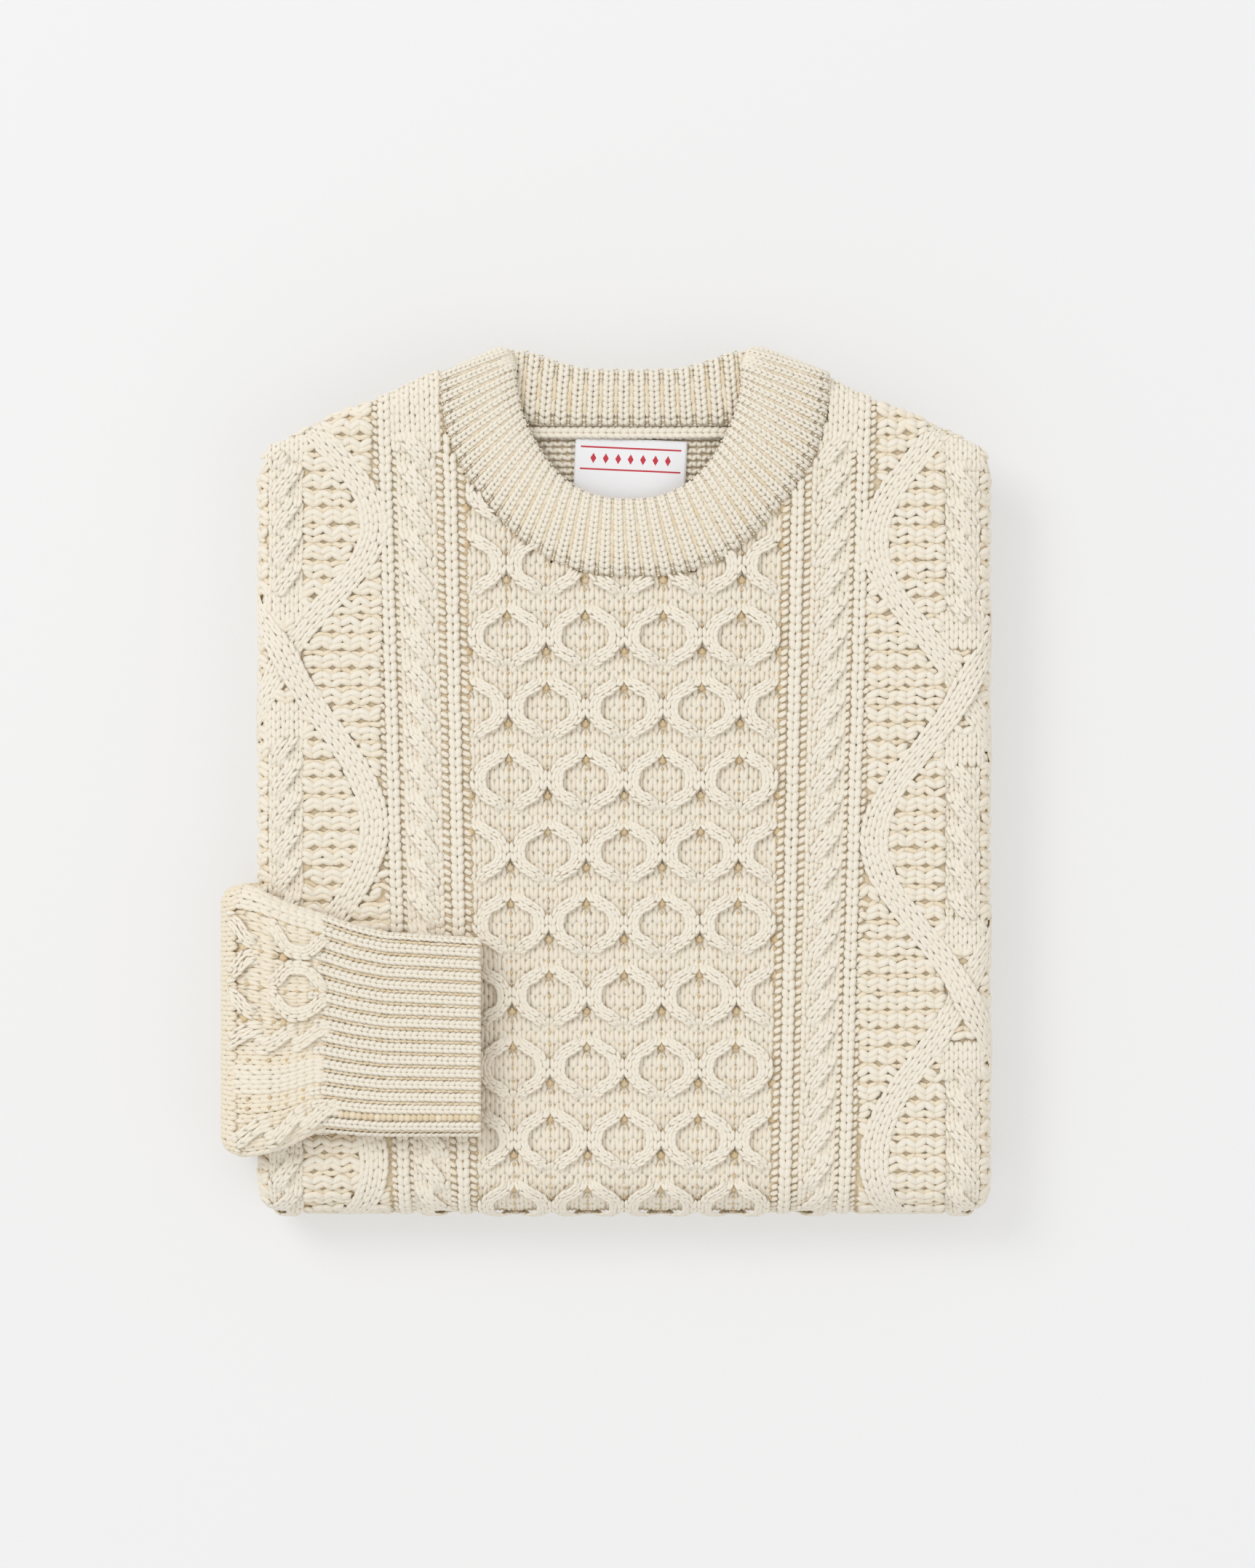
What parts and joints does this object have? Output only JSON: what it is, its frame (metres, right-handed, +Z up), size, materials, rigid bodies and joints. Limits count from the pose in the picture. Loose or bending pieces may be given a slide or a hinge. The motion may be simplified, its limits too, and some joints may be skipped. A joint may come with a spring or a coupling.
{
  "type": "folded cable knit crew neck sweater",
  "caption": "Cream cable knit crew neck sweater, folded to a rectangle with one sleeve across the front.",
  "frame": {"origin": "middle of the outline, on the underside", "axes": "+X to the right as seen from above, +Y towards the collar, +Z up"},
  "size_m": [0.3737, 0.4202, 0.0635],
  "materials": {
    "yarn": "matte",
    "yarn_inside": "matte",
    "label_satin": "satin"
  },
  "bodies": {
    "root": {"front": "yarn", "back": "yarn_inside", "neckband": "yarn", "sleeve": "yarn", "cuff": "yarn", "hidden_layers": "yarn", "label": "label_satin"}
  },
  "joints": []
}
